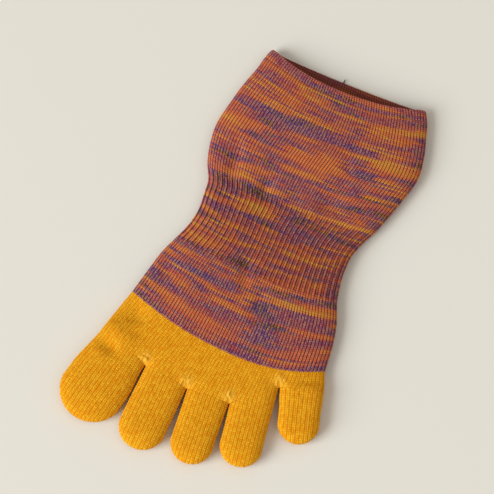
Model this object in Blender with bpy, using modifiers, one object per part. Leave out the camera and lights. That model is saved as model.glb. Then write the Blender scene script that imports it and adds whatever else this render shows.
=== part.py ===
"""Toe sock lying flat: an open mouth, a leg, a ribbed arch band, a foot and five toe pockets.

The sock lies along Y with its mouth towards +Y and its toes towards -Y. Its underside rests on
Z = 0. Every piece is a hollow wall of knit, so the hollow runs from the mouth into each toe.
"""
import math
from collections import namedtuple

import bmesh
import bpy
import numpy as np

# Lengths of the knitted zones along the sock, from the mouth to the toe roots, in metres
WELT_LENGTH = 0.0050
LEG_LENGTH = 0.0636
RIB_LENGTH = 0.0370
INSTEP_LENGTH = 0.0335
FOREFOOT_LENGTH = 0.0337

# Widths across the lying sock
MOUTH_WIDTH = 0.0819
LEG_WIDTH = 0.0997
WAIST_WIDTH = 0.0772
FOOT_WIDTH = 0.1002

# Toe pockets: the big toe's size, which the other toes follow by their shares
TOE_LENGTH = 0.0410
TOE_WIDTH = 0.0322
TOE_LOFT = 0.0085

# Thickness of the lying sock, of its knit, and of the round fold along each side
LOFT = 0.0090
WALL = 0.0015
FOLD_RADIUS = 0.0055
FOLD_HEIGHT = 0.0036
CROWN_POWER = 2.8

# Relief of the knit and the shape of its courses, which sag towards the toes in the middle
RIB_COUNT = 33
RIB_DEPTH = 0.00045
MOUTH_SAG = 0.0076
LEG_SAG = 0.0046
RIB_TOP_SAG = 0.0025
RIB_FOOT_SAG = 0.0035
MUSTARD_SAG = 0.0104
SAG_POWER = 2.3

# How the forefoot's sides take the toes' shape over the last share of its length, how much of the
# air at a crotch lifts the upper layer, and how a toe pocket widens and rounds off its tip
PINCH_START = 0.35
PINCH_POWER = 1.5
PINCH_LIFT = 0.6
TOE_SPREAD = 0.5
TIP_POWER = 0.7

# Clearances between neighbouring pieces, and the air left between the layers at a crotch
GAP = 0.0003
TOE_ROOT_GAP = 0.0006
CROTCH_AIR = 0.0009

# Fineness of the meshes
LAYER_STEPS = 20
TOE_STEPS = 12
FOREFOOT_TOE_STEPS = 8
TIP_ROWS = 4
TOE_ROWS = 4
WELD = 0.00001

MARL = (0.42, 0.16, 0.12, 1.0)
MUSTARD = (0.72, 0.34, 0.03, 1.0)

# A zone's rows hold its length and how finely it is cut along the sock
Zone = namedtuple("Zone", "name length rows")
ZONES = (
    Zone("cuff_welt", WELT_LENGTH, 2),
    Zone("leg", LEG_LENGTH, 11),
    Zone("arch_rib", RIB_LENGTH, 4),
    Zone("instep", INSTEP_LENGTH, 6),
    Zone("forefoot", FOREFOOT_LENGTH, 7),
)

# Outline of the lying sock: in each zone, at a share of its length, how far the two side folds
# stand from the sock's line as shares of the named width, and the loft as a share of LOFT
Section = namedtuple("Section", "zone share width left right loft")
SECTIONS = (
    Section("cuff_welt", 0.00, MOUTH_WIDTH, -0.459, 0.541, 0.93),
    Section("cuff_welt", 1.00, MOUTH_WIDTH, -0.479, 0.574, 0.96),
    Section("leg", 0.10, LEG_WIDTH, -0.406, 0.493, 0.99),
    Section("leg", 0.24, LEG_WIDTH, -0.432, 0.520, 1.02),
    Section("leg", 0.45, LEG_WIDTH, -0.461, 0.539, 1.05),
    Section("leg", 0.67, LEG_WIDTH, -0.480, 0.507, 1.06),
    Section("leg", 0.82, LEG_WIDTH, -0.468, 0.479, 1.05),
    Section("leg", 0.97, LEG_WIDTH, -0.440, 0.446, 1.04),
    Section("arch_rib", 0.14, WAIST_WIDTH, -0.523, 0.534, 1.04),
    Section("arch_rib", 0.32, WAIST_WIDTH, -0.512, 0.505, 1.04),
    Section("arch_rib", 0.56, WAIST_WIDTH, -0.503, 0.497, 1.04),
    Section("arch_rib", 0.80, WAIST_WIDTH, -0.521, 0.509, 1.04),
    Section("arch_rib", 1.00, WAIST_WIDTH, -0.556, 0.531, 1.04),
    Section("instep", 0.31, FOOT_WIDTH, -0.468, 0.449, 1.05),
    Section("instep", 0.54, FOOT_WIDTH, -0.486, 0.467, 1.05),
    Section("instep", 1.00, FOOT_WIDTH, -0.519, 0.485, 1.02),
)

# Sag of the courses at a share of a zone's length. The lower layer sags by a share of the upper
# layer's sag, and a skew above 0 moves the deepest place towards +X.
Sag = namedtuple("Sag", "zone share sag lower skew")
SAGS = (
    Sag("cuff_welt", 0.00, MOUTH_SAG, 0.17, 0.00),
    Sag("leg", 0.45, LEG_SAG, 0.70, -0.10),
    Sag("arch_rib", 0.00, RIB_TOP_SAG, 1.00, 0.00),
    Sag("instep", 0.00, RIB_FOOT_SAG, 1.00, 0.20),
    Sag("forefoot", 0.00, MUSTARD_SAG, 1.00, 0.24),
)

# Toe roots from the big toe's outer side to the little toe's: how far each root point stands
# across as a share of FOOT_WIDTH, how far down the forefoot as a share of its length, and how
# many wales of each layer lie before it
Root = namedtuple("Root", "name across down wales")
ROOTS = (
    Root("big_outer", -0.578, 0.650, 0),
    Root("big_second", -0.314, 0.918, 18),
    Root("second_third", -0.088, 1.00, 31),
    Root("third_fourth", 0.125, 0.964, 43),
    Root("fourth_little", 0.314, 0.475, 55),
    Root("little_outer", 0.521, 0.290, 66),
)

# Toe pockets: length and width as shares of the big toe's, the turn of the toe's line away from
# the sock's line in degrees (towards -X is negative), and where its round tip starts
Toe = namedtuple("Toe", "name length width turn tip_start")
TOES = (
    Toe("big_toe", 1.000, 1.000, -12.0, 0.62),
    Toe("second_toe", 0.910, 0.720, -2.0, 0.69),
    Toe("third_toe", 0.820, 0.652, 4.5, 0.69),
    Toe("fourth_toe", 0.850, 0.645, 8.5, 0.71),
    Toe("little_toe", 0.635, 0.635, 17.0, 0.60),
)

# Soft dents (depth above 0) and swells (below 0) of the upper layer. They lie at a share of a
# zone's length and at a place across from -1 to 1. Their reach along and across is a share of
# FOOT_WIDTH, their turn is in degrees, and their depth is a share of LOFT.
Dent = namedtuple("Dent", "zone share across reach_along reach_across turn depth")
DENTS = (
    Dent("leg", 0.86, -0.70, 0.090, 0.035, 8.0, 0.20),
    Dent("leg", 0.95, -0.27, 0.065, 0.030, 0.0, 0.13),
    Dent("leg", 0.84, 0.42, 0.060, 0.060, 25.0, 0.11),
    Dent("leg", 0.55, 0.05, 0.130, 0.140, 0.0, -0.05),
    Dent("arch_rib", 0.98, -0.12, 0.070, 0.030, 0.0, 0.08),
    Dent("instep", 0.44, -0.86, 0.070, 0.050, 15.0, 0.10),
    Dent("forefoot", 0.29, -0.84, 0.070, 0.055, 20.0, 0.20),
    Dent("forefoot", 0.58, -0.80, 0.030, 0.060, 20.0, -0.13),
)


def zone_start(name):
    """Distance from the mouth to the start of a zone."""
    start = 0.0
    for zone in ZONES:
        if zone.name == name:
            break
        start += zone.length
    return start


def zone_place(name, share):
    """Distance from the mouth of a share of a zone's length."""
    length = next(zone.length for zone in ZONES if zone.name == name)
    return zone_start(name) + share * length


def smooth(places, values, place):
    """Read a smooth curve through a table's values, with slopes from the neighbouring rows."""
    slopes = np.gradient(values, places)
    index = int(np.clip(np.searchsorted(places, place) - 1, 0, len(places) - 2))
    step = places[index + 1] - places[index]
    x = (place - places[index]) / step
    return (
        values[index] * (1 + 2 * x) * (1 - x) ** 2
        + slopes[index] * step * x * (1 - x) ** 2
        + values[index + 1] * x * x * (3 - 2 * x)
        - slopes[index + 1] * step * x * x * (1 - x)
    )


SECTION_PLACES = np.array([zone_place(row.zone, row.share) for row in SECTIONS])
SECTION_LEFT = np.array([row.left * row.width for row in SECTIONS])
SECTION_RIGHT = np.array([row.right * row.width for row in SECTIONS])
SECTION_LOFT = np.array([row.loft * LOFT for row in SECTIONS])
SAG_PLACES = [zone_place(row.zone, row.share) for row in SAGS]


def ease(x):
    """Rise from 0 to 1 with level ends."""
    x = min(max(x, 0.0), 1.0)
    return x * x * (3 - 2 * x)


def crown_at(side):
    """Share of its loft that the upper layer has from its middle, at 0, to its fold, at 1."""
    side = min(max(side, 0.0), 1.0)
    return (1 - side ** CROWN_POWER) ** (1 / CROWN_POWER)


def curl_at(distance):
    """Height of the lower layer at a distance from its fold."""
    curl = min(1.0, max(0.0, 1 - distance / FOLD_RADIUS))
    return FOLD_HEIGHT * (1 - math.sqrt(1 - curl * curl))


def layer_heights(across, half_width, loft):
    """Heights of the lower and the upper layer at a place across, from -1 to 1."""
    side = min(abs(across), 1.0)
    upper = FOLD_HEIGHT + (loft - FOLD_HEIGHT) * crown_at(side)
    return curl_at((1 - side) * half_width), upper


def plan_point(place, across, upper=True):
    """Plan position of the point on a course of the sock's tube, before it is centred."""
    left = smooth(SECTION_PLACES, SECTION_LEFT, place)
    right = smooth(SECTION_PLACES, SECTION_RIGHT, place)
    sag = np.interp(place, SAG_PLACES, [row.sag for row in SAGS])
    skew = np.interp(place, SAG_PLACES, [row.skew for row in SAGS])
    if not upper:
        sag *= np.interp(place, SAG_PLACES, [row.lower for row in SAGS])
    bow = sag * (1 - abs(across) ** SAG_POWER) * (1 + skew * across)
    x = 0.5 * (left + right) + 0.5 * (right - left) * across
    return x, -place - bow, 0.5 * (right - left)


def dent_depth(x, y):
    """Depth of the soft dents at a plan position."""
    depth = 0.0
    for dent in DENTS:
        if dent.zone == "forefoot":
            centre = forefoot_plan(dent.share, dent.across)
        else:
            centre = plan_point(zone_place(dent.zone, dent.share), dent.across)
        turn = math.radians(dent.turn)
        dx, dy = x - centre[0], y - centre[1]
        along = (dy * math.cos(turn) - dx * math.sin(turn)) / (dent.reach_along * FOOT_WIDTH)
        aside = (dx * math.cos(turn) + dy * math.sin(turn)) / (dent.reach_across * FOOT_WIDTH)
        depth += dent.depth * LOFT * math.exp(-along * along - aside * aside)
    return depth


def root_place(index):
    """Plan position of a toe root point."""
    root = ROOTS[index]
    return np.array([
        root.across * FOOT_WIDTH,
        -zone_place("forefoot", root.down),
    ])


def root_across(index):
    """Place across the tube, from -1 to 1, of the wale that ends at a toe root point."""
    return 2.0 * ROOTS[index].wales / ROOTS[-1].wales - 1.0


def toe_of(across):
    """Index of the toe that a place across the forefoot leads to, and the place across it."""
    index = 0
    while index < len(TOES) - 1 and across > root_across(index + 1):
        index += 1
    low, high = root_across(index), root_across(index + 1)
    return index, 2.0 * (across - low) / (high - low) - 1.0


def forefoot_plan(share, across):
    """Plan position on the forefoot, between the mustard yarn's first course and the roots."""
    x, y, half_width = plan_point(zone_start("forefoot"), across)
    toe, within = toe_of(across)
    end = root_place(toe) * (1 - within) / 2 + root_place(toe + 1) * (1 + within) / 2
    return x + (end[0] - x) * share, y + (end[1] - y) * share, half_width


def tube_point(zone, share, across, upper):
    """Point on the outer face of one of the zones above the forefoot."""
    gap = 0.0 if zone is ZONES[0] else GAP
    place = zone_start(zone.name) + gap + share * (zone.length - gap)
    loft = smooth(SECTION_PLACES, SECTION_LOFT, place)
    x, y, half_width = plan_point(place, across, upper)
    low, high = layer_heights(across, half_width, loft)
    crown = (high - FOLD_HEIGHT) / (loft - FOLD_HEIGHT)
    return (x, y, high - dent_depth(x, y) * crown) if upper else (x, y, low)


def forefoot_point(share, across, upper):
    """Point on the forefoot, whose layers draw together round each crotch between two toes."""
    start_x, start_y, _ = forefoot_plan(0.0, across)
    end_x, end_y, _ = forefoot_plan(1.0, across)
    gap = GAP / math.hypot(end_x - start_x, end_y - start_y)
    share = gap + share * (1 - gap)
    x, y, half_width = forefoot_plan(share, across)
    toe, within = toe_of(across)
    root_half = np.linalg.norm(root_place(toe + 1) - root_place(toe)) / 2
    loft = SECTION_LOFT[-1] + (TOE_LOFT - SECTION_LOFT[-1]) * share
    body_low, body_high = layer_heights(across, half_width, loft)
    outer_half = (toe == 0 and within < 0) or (toe == len(TOES) - 1 and within > 0)
    toe_low, toe_high = layer_heights(within if outer_half else 0.0, root_half, loft)
    pull = ease((share - PINCH_START) / (1 - PINCH_START)) ** PINCH_POWER
    low = body_low + (toe_low - body_low) * pull
    high = body_high + (toe_high - body_high) * pull
    for index in range(1, len(TOES)):
        distance = math.hypot(*(root_place(index) - (x, y)))
        high = FOLD_HEIGHT + (high - FOLD_HEIGHT) * crown_at(1 - distance / root_half)
        low = max(low, curl_at(distance))
    crown = (body_high - FOLD_HEIGHT) / (loft - FOLD_HEIGHT)
    air = max(0.0, 2 * WALL + CROTCH_AIR - (high - low)) * crown
    if upper:
        return x, y, high + PINCH_LIFT * air - dent_depth(x, y) * crown * (1 - pull)
    return x, y, max(0.0, low - (1 - PINCH_LIFT) * air)


def toe_point(index, share, across, upper):
    """Point on a toe pocket, from its open root at share 0 to its round tip at share 1."""
    toe = TOES[index]
    left, right = root_place(index), root_place(index + 1)
    middle = (left + right) / 2
    turn = math.radians(toe.turn)
    line = np.array([math.sin(turn), -math.cos(turn)])
    normal = np.array([math.cos(turn), math.sin(turn)])
    length = toe.length * TOE_LENGTH
    half_width = toe.width * TOE_WIDTH / 2
    root_half = (right - left) / 2
    root_half = root_half * (1 - GAP / np.linalg.norm(root_half))
    blend = ease(share / TOE_SPREAD)
    half = root_half * (1 - blend) + normal * half_width * blend
    close = max(0.0, share - toe.tip_start) / (1 - toe.tip_start)
    round_off = math.sqrt(max(0.0, 1 - close * close))
    half = half * round_off
    centre = middle + line * (TOE_ROOT_GAP + share * (length - TOE_ROOT_GAP))
    low, high = layer_heights(across, half_width, TOE_LOFT)
    height = high if upper else low
    height = FOLD_HEIGHT + (height - FOLD_HEIGHT) * round_off ** TIP_POWER
    place = centre + half * across
    return place[0], place[1], height


def even_steps(count):
    """Places across from -1 to 1, closer together towards the side folds."""
    return [math.sin(math.pi * (step / count - 0.5)) for step in range(count + 1)]


def toe_steps():
    """Places across the forefoot that meet every toe root, closer together at each of them."""
    places = [-1.0]
    for index in range(len(TOES)):
        low, high = root_across(index), root_across(index + 1)
        for step in even_steps(FOREFOOT_TOE_STEPS)[1:]:
            places.append(low + (high - low) * (step + 1) / 2)
    return places


def rib_steps(zone):
    """Places across the ribbed band that give every rib the same width round the section."""
    fine = np.linspace(-math.pi / 2, math.pi / 2, 400)
    fine = np.sin(fine)
    points = np.array([tube_point(zone, 0.5, across, True) for across in fine])
    lengths = np.concatenate([[0.0], np.cumsum(np.linalg.norm(np.diff(points, axis=0), axis=1))])
    wanted = np.linspace(0.0, lengths[-1], 2 * RIB_COUNT + 1)
    return [float(across) for across in np.interp(wanted, lengths, fine)]


def rows_of(count):
    """Shares of a zone's length for its rows, evenly spaced."""
    return [row / count for row in range(count + 1)]


def toe_rows(toe):
    """Shares of a toe's length, with the last rows round the tip and the very last a point."""
    shares = [toe.tip_start * row / TOE_ROWS for row in range(TOE_ROWS + 1)]
    for row in range(1, TIP_ROWS + 1):
        angle = math.pi / 2 * row / TIP_ROWS
        shares.append(toe.tip_start + (1 - toe.tip_start) * math.sin(angle))
    return shares


def lay_tube(name, places, shares, point):
    """Roll a flat grid into a tube: over the upper layer from left to right, then back below."""
    ring = [(across, True) for across in places]
    ring += [(across, False) for across in reversed(places[1:-1])]
    ring.append(ring[0])
    mesh = bpy.data.meshes.new(name)
    tube = bmesh.new()
    columns, rows = len(ring) - 1, len(shares) - 1
    bmesh.ops.create_grid(tube, x_segments=columns, y_segments=rows, size=0.5)
    for vertex in tube.verts:
        column = round((vertex.co.x + 0.5) * columns)
        row = round((vertex.co.y + 0.5) * rows)
        across, upper = ring[column]
        vertex.co = point(shares[row], across, upper, column)
    bmesh.ops.remove_doubles(tube, verts=tube.verts, dist=WELD)
    bmesh.ops.reverse_faces(tube, faces=tube.faces)
    tube.to_mesh(mesh)
    tube.free()
    return mesh


def knit_material(name, colour):
    """Plain knit of one colour."""
    material = bpy.data.materials.new(name)
    material.use_nodes = True
    shader = material.node_tree.nodes["Principled BSDF"]
    shader.inputs["Base Color"].default_value = colour
    shader.inputs["Roughness"].default_value = 0.9
    shader.inputs["Metallic"].default_value = 0.0
    material.diffuse_color = colour
    return material


def knit_piece(name, mesh, colour, collection):
    """Give a tube its knit wall, inwards from its outer face, and its colour."""
    mesh.materials.append(knit_material(name + "_knit", colour))
    mesh.shade_smooth()
    piece = bpy.data.objects.new(name, mesh)
    collection.objects.link(piece)
    wall = piece.modifiers.new("knit_wall", "SOLIDIFY")
    wall.thickness = WALL
    wall.offset = -1.0
    wall.use_even_offset = True
    wall.use_quality_normals = True
    return piece


def build_zone(zone, collection):
    """Build a zone of the sock's tube above the forefoot."""
    ribbed = zone.name == "arch_rib"
    places = rib_steps(zone) if ribbed else even_steps(LAYER_STEPS)

    def point(share, across, upper, column):
        x, y, z = tube_point(zone, share, across, upper)
        if ribbed and column % 2:
            z += -RIB_DEPTH if upper else RIB_DEPTH
        return x, y, z

    mesh = lay_tube(zone.name, places, rows_of(zone.rows), point)
    return knit_piece(zone.name, mesh, MARL, collection)


def build_forefoot(zone, collection):
    """Build the mustard forefoot, whose end meets the five toe pockets."""
    def point(share, across, upper, column):
        return forefoot_point(share, across, upper)

    mesh = lay_tube(zone.name, toe_steps(), rows_of(zone.rows), point)
    return knit_piece(zone.name, mesh, MUSTARD, collection)


def build_toe(index, collection):
    """Build one toe pocket, open at its root and closed round its tip."""
    toe = TOES[index]

    def point(share, across, upper, column):
        return toe_point(index, share, across, upper)

    mesh = lay_tube(toe.name, even_steps(TOE_STEPS), toe_rows(toe), point)
    return knit_piece(toe.name, mesh, MUSTARD, collection)


def centre(pieces):
    """Bring the middle of the sock's plan over the origin."""
    corners = np.array([vertex.co for piece in pieces for vertex in piece.data.vertices])
    middle = (corners.min(axis=0) + corners.max(axis=0)) / 2
    for piece in pieces:
        for vertex in piece.data.vertices:
            vertex.co.x -= middle[0]
            vertex.co.y -= middle[1]


def main():
    """Build the sock zone by zone and toe by toe."""
    for thing in list(bpy.data.objects):
        bpy.data.objects.remove(thing)
    collection = bpy.data.collections.new("toe_sock")
    bpy.context.scene.collection.children.link(collection)
    pieces = [build_zone(zone, collection) for zone in ZONES[:-1]]
    pieces.append(build_forefoot(ZONES[-1], collection))
    pieces += [build_toe(index, collection) for index in range(len(TOES))]
    centre(pieces)


main()
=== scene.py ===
"""Finished looks of a knitted toe sock that lies flat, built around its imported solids.

The sock is one tube of knit whose zones differ in stitch and yarn, with five toe pockets at its end.
Each zone and pocket is a closed wall of knit, pressed into single stitches. Lengths are in metres.
"""
import logging
import math
from dataclasses import dataclass, field
from enum import Enum
from typing import NamedTuple

import bmesh
import bpy
import numpy as np
from mathutils import Matrix, Vector


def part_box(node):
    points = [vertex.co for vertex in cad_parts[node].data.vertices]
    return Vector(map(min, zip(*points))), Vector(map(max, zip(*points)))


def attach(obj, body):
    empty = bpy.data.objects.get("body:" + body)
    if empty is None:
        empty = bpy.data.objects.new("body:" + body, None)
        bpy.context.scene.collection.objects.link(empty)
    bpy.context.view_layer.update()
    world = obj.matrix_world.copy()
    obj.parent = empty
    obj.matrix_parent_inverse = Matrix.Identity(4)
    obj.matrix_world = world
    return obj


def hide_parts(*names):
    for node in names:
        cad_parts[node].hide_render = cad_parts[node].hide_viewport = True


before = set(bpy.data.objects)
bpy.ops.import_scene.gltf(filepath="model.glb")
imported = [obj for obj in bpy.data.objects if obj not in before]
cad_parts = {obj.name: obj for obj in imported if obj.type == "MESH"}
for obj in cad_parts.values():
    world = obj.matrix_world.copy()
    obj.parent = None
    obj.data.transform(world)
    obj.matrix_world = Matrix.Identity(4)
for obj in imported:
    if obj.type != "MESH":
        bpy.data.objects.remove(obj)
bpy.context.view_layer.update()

BODY = "root"
KNIT_UV = "knit"
WELD = 0.000004
ROUNDING = 0.001
SEED = 7
NOISE_SIDE = 64

LOG = logging.getLogger("toe_sock")
Arrays = tuple[np.ndarray, ...]


class Yarn(Enum):
    """The yarns and stitches of the sock, by the material slot that each one fills."""

    MARL = "marl_knit"
    MARL_RIB = "marl_rib_knit"
    MUSTARD = "mustard_knit"


class Zone(NamedTuple):
    """A zone of the sock's tube: its length, how many courses it has, and its yarn."""

    name: str
    length: float
    courses: int
    yarn: Yarn


class Section(NamedTuple):
    """Where the side folds stand at a share of a zone, as shares of a width, and the loft's share."""

    zone: str
    share: float
    width: float
    left: float
    right: float
    loft: float


class Sag(NamedTuple):
    """How far the courses sag at a share of a zone, the lower layer's share of it, and its skew."""

    zone: str
    share: float
    sag: float
    lower: float
    skew: float


class Root(NamedTuple):
    """A toe root point: shares of the foot's width and the forefoot's length, and its wale."""

    name: str
    across: float
    down: float
    wales: int


class Toe(NamedTuple):
    """A toe pocket: shares of the big toe's length and width, its turn, and where its tip starts."""

    name: str
    length: float
    width: float
    turn: float
    tip_start: float


class Dent(NamedTuple):
    """A soft dent (depth above 0) or swell of the upper layer, with shares as reach and depth."""

    zone: str
    share: float
    across: float
    reach_along: float
    reach_across: float
    turn: float
    depth: float


class Tone(Enum):
    """Colours that follow each other along the space-dyed yarn, as places on its colour ramp."""

    GOLD = 0.03
    ORANGE = 0.20
    SALMON = 0.36
    ROSE = 0.50
    PURPLE = 0.68
    VIOLET = 0.84
    OLIVE = 1.0


class Streak(NamedTuple):
    """A streak of one tone along the courses, with its half height in courses and half length."""

    zone: str
    share: float
    across: float
    courses: float
    length: float
    tone: Tone
    strength: float


MOUTH_WIDTH = 0.0819
LEG_WIDTH = 0.0997
WAIST_WIDTH = 0.0772
FOOT_WIDTH = 0.1002

ZONES = (
    Zone("cuff_welt", 0.0050, 5, Yarn.MARL),
    Zone("leg", 0.0636, 63, Yarn.MARL),
    Zone("arch_rib", 0.0370, 37, Yarn.MARL_RIB),
    Zone("instep", 0.0335, 35, Yarn.MARL),
    Zone("forefoot", 0.0337, 29, Yarn.MUSTARD),
)

SECTIONS = (
    Section("cuff_welt", 0.00, MOUTH_WIDTH, -0.459, 0.541, 0.93),
    Section("cuff_welt", 1.00, MOUTH_WIDTH, -0.479, 0.574, 0.96),
    Section("leg", 0.10, LEG_WIDTH, -0.406, 0.493, 0.99),
    Section("leg", 0.24, LEG_WIDTH, -0.432, 0.520, 1.02),
    Section("leg", 0.45, LEG_WIDTH, -0.461, 0.539, 1.05),
    Section("leg", 0.67, LEG_WIDTH, -0.480, 0.507, 1.06),
    Section("leg", 0.82, LEG_WIDTH, -0.468, 0.479, 1.05),
    Section("leg", 0.97, LEG_WIDTH, -0.440, 0.446, 1.04),
    Section("arch_rib", 0.14, WAIST_WIDTH, -0.523, 0.534, 1.04),
    Section("arch_rib", 0.32, WAIST_WIDTH, -0.512, 0.505, 1.04),
    Section("arch_rib", 0.56, WAIST_WIDTH, -0.503, 0.497, 1.04),
    Section("arch_rib", 0.80, WAIST_WIDTH, -0.521, 0.509, 1.04),
    Section("arch_rib", 1.00, WAIST_WIDTH, -0.556, 0.531, 1.04),
    Section("instep", 0.31, FOOT_WIDTH, -0.468, 0.449, 1.05),
    Section("instep", 0.54, FOOT_WIDTH, -0.486, 0.467, 1.05),
    Section("instep", 1.00, FOOT_WIDTH, -0.519, 0.485, 1.02),
)

SAGS = (
    Sag("cuff_welt", 0.00, 0.0076, 0.17, 0.00),
    Sag("leg", 0.45, 0.0046, 0.70, -0.10),
    Sag("arch_rib", 0.00, 0.0025, 1.00, 0.00),
    Sag("instep", 0.00, 0.0035, 1.00, 0.20),
    Sag("forefoot", 0.00, 0.0104, 1.00, 0.24),
)

ROOTS = (
    Root("big_outer", -0.578, 0.650, 0),
    Root("big_second", -0.314, 0.918, 18),
    Root("second_third", -0.088, 1.00, 31),
    Root("third_fourth", 0.125, 0.964, 43),
    Root("fourth_little", 0.314, 0.475, 55),
    Root("little_outer", 0.521, 0.290, 66),
)

TOES = (
    Toe("big_toe", 1.000, 1.000, -12.0, 0.62),
    Toe("second_toe", 0.910, 0.720, -2.0, 0.69),
    Toe("third_toe", 0.820, 0.652, 4.5, 0.69),
    Toe("fourth_toe", 0.850, 0.645, 8.5, 0.71),
    Toe("little_toe", 0.635, 0.635, 17.0, 0.60),
)

DENTS = (
    Dent("leg", 0.86, -0.70, 0.090, 0.035, 8.0, 0.20),
    Dent("leg", 0.95, -0.27, 0.065, 0.030, 0.0, 0.13),
    Dent("leg", 0.84, 0.42, 0.060, 0.060, 25.0, 0.11),
    Dent("leg", 0.55, 0.05, 0.130, 0.140, 0.0, -0.05),
    Dent("arch_rib", 0.98, -0.12, 0.070, 0.030, 0.0, 0.08),
    Dent("instep", 0.44, -0.86, 0.070, 0.050, 15.0, 0.10),
    Dent("forefoot", 0.29, -0.84, 0.070, 0.055, 20.0, 0.20),
    Dent("forefoot", 0.58, -0.80, 0.030, 0.060, 20.0, -0.13),
)

CREASES = (
    Dent("leg", 0.80, -0.66, 0.050, 0.022, 6.0, 0.09),
    Dent("leg", 0.95, -0.30, 0.045, 0.024, 0.0, 0.08),
    Dent("leg", 0.90, 0.40, 0.025, 0.050, 20.0, 0.08),
    Dent("leg", 0.52, 0.34, 0.050, 0.022, 12.0, 0.05),
    Dent("instep", 0.10, -0.06, 0.060, 0.024, 4.0, 0.08),
    Dent("instep", 0.30, 0.16, 0.050, 0.024, -12.0, 0.08),
    Dent("instep", 0.50, -0.84, 0.025, 0.040, 25.0, 0.08),
    Dent("forefoot", 0.82, -0.86, 0.035, 0.080, -13.0, -0.11),
    Dent("forefoot", 1.22, -0.84, 0.032, 0.060, -13.0, 0.17),
)

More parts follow.
